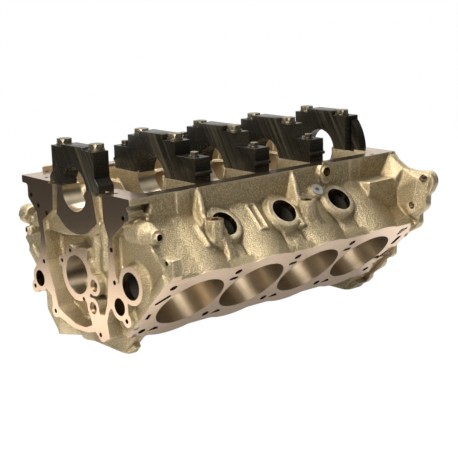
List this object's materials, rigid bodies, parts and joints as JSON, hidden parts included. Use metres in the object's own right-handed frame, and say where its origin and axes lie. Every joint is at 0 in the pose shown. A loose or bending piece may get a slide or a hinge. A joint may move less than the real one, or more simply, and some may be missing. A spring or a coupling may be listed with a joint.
{
  "type": "engine block",
  "caption": "V8 engine block, upside down, with its main bearing caps bolted on, open cylinders, water jackets, cam tunnel and bellhousing flange.",
  "frame": {"origin": "on the crank axis, at the middle of the third main bearing", "axes": "+X along the crank axis towards the bellhousing face, +Z towards the crankcase opening, which is up in this pose, -Y towards the bank whose cylinders lie further forward"},
  "size_m": [0.52, 0.45, 0.2929],
  "materials": {
    "casting": "fine cast skin in warm bronze grey, with machined faces",
    "cap": "black oxide steel with brushed streaks",
    "bolt": "dark olive phosphate steel",
    "steel": "plain steel"
  },
  "bodies": {
    "root": {"block_casting": "casting", "main_cap_1": "cap", "main_cap_2": "cap", "main_cap_3": "cap", "main_cap_4": "cap", "main_cap_5": "cap", "main_bolt_1_near": "bolt", "main_bolt_1_far": "bolt", "main_bolt_2_near": "bolt", "main_bolt_2_far": "bolt", "main_bolt_3_near": "bolt", "main_bolt_3_far": "bolt", "main_bolt_4_near": "bolt", "main_bolt_4_far": "bolt", "main_bolt_5_near": "bolt", "main_bolt_5_far": "bolt", "outer_bolt_2_near": "bolt", "outer_bolt_2_far": "bolt", "outer_bolt_3_near": "bolt", "outer_bolt_3_far": "bolt", "outer_bolt_4_near": "bolt", "outer_bolt_4_far": "bolt", "cap_dowels": "steel", "deck_dowels": "steel", "bellhousing_dowels": "steel", "gallery_plug_upper": "steel", "gallery_plug_lower": "steel", "side_plug": "steel"}
  },
  "joints": []
}
